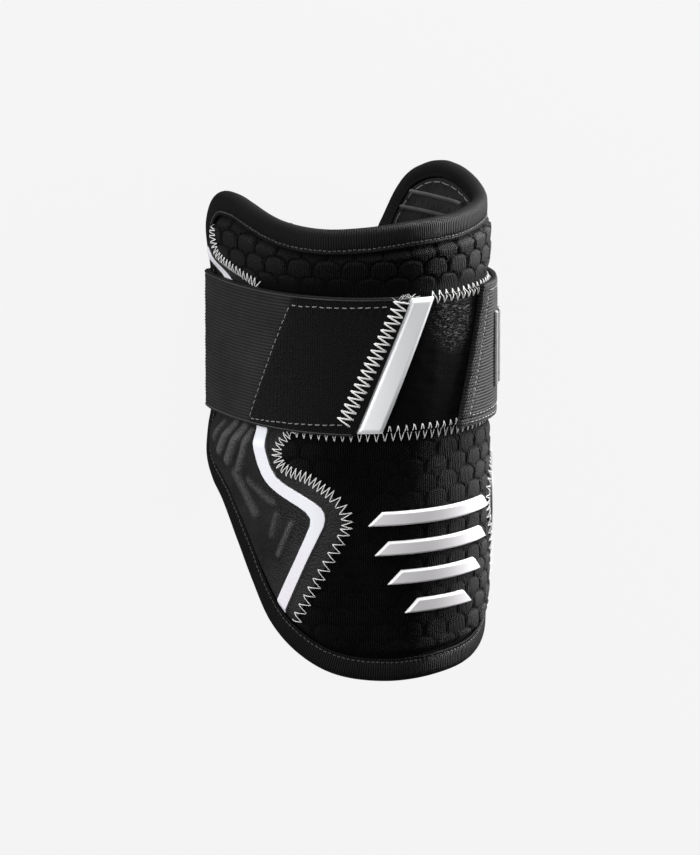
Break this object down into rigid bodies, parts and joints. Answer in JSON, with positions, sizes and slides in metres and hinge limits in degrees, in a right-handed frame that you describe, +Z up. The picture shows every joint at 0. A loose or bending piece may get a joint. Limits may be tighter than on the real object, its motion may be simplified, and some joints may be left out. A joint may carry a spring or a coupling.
{
  "type": "elbow guard",
  "caption": "Padded batter's elbow guard: a bent cuff with a tongue over the elbow, knit cover, bound edge, side panels and an elastic strap with a hook tab round its open back.",
  "frame": {"origin": "on the surface it lies on, under the middle of the strap's flat run", "axes": "+X across the arm, +Y up the arm towards the shoulder, +Z up from the surface, towards the padded front"},
  "size_m": [0.1072, 0.1948, 0.0989],
  "materials": {
    "knit": "moulded knit with small raised cells",
    "lining": "smooth perforated cloth",
    "binding": "ribbed elastic tape",
    "panel": "embossed synthetic, pebbled grain",
    "stripe": "pearly film",
    "loop": "brushed loop cloth",
    "elastic": "ribbed elastic webbing",
    "woven": "woven tape",
    "label": "silver-grey film",
    "mark": "satin moulded rubber",
    "tab_mark": "satin moulded rubber"
  },
  "bodies": {
    "root": {"padded_body": "knit", "inner_lining": "lining", "edge_binding": "binding", "side_panel_left": "panel", "side_panel_right": "panel", "stripe_left": "stripe", "stripe_right": "stripe", "loop_patch": "loop", "strap_elastic": "elastic", "strap_anchor": "woven", "strap_tab": "woven", "label": "label", "front_mark_1": "mark", "front_mark_2": "mark", "front_mark_3": "mark", "front_mark_4": "mark", "tab_mark_1": "tab_mark", "tab_mark_2": "tab_mark"}
  },
  "joints": []
}
